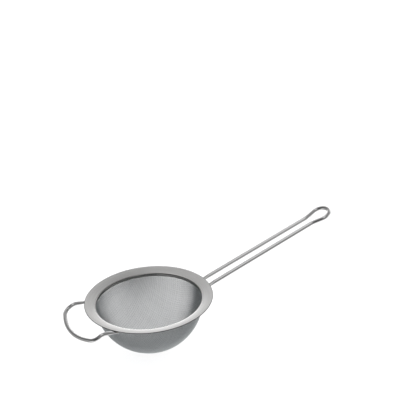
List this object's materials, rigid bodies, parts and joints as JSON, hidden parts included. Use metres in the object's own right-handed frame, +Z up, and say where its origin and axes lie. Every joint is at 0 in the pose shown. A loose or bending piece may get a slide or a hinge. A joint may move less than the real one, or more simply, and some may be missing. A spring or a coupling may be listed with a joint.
{
  "type": "tea strainer",
  "caption": "Round wire-mesh tea strainer with a wide conical rim, a long bent-wire handle with a hanging loop, and a wire rest opposite it.",
  "frame": {"origin": "centre of the rim's outer edge, in the plane of that edge", "axes": "+X from the bowl's axis towards the handle's end, +Z up out of the bowl, +Y to the left when looking along the handle from the bowl"},
  "size_m": [0.2223, 0.097, 0.0688],
  "materials": {
    "rim_sheet": "satin, brushed around the rim, with a polished rolled lip",
    "mesh": "fine plain-weave stainless wire cloth",
    "band": "satin",
    "wire": "polished drawn stainless wire",
    "weld": "dull weld metal with a faint heat tint"
  },
  "bodies": {
    "root": {"rim_flange": "rim_sheet", "mesh_bowl": "mesh", "clamping_band": "band", "handle_wire": "wire", "rest_loop": "wire", "handle_welds": "weld", "rest_welds": "weld"}
  },
  "joints": []
}
